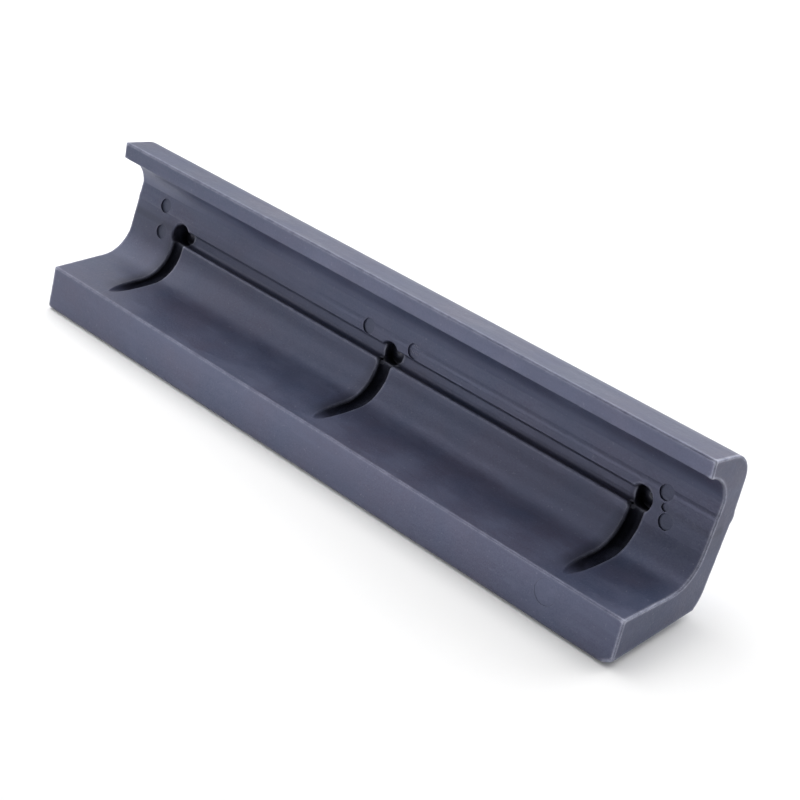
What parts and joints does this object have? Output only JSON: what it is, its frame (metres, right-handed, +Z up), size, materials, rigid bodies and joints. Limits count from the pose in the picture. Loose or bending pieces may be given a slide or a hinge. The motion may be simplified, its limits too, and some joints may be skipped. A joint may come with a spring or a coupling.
{
  "type": "slide rail wear strip",
  "caption": "Long moulded nylon wear strip, a channel that wraps the edge of a slide rail, with three grease pockets, a lengthwise grease groove and curved cross grooves running out along the foot.",
  "frame": {"origin": "middle of the length and of the depth, on the flat bearing face of the foot", "axes": "+X along the strip, +Y from the open mouth of the channel to its back, +Z up, away from the flat underside of the foot"},
  "size_m": [0.305, 0.0604, 0.0628],
  "materials": {
    "moulded_nylon": "satin moulded, faintly mottled slate blue-grey"
  },
  "bodies": {
    "root": {"wear_strip": "moulded_nylon"}
  },
  "joints": []
}
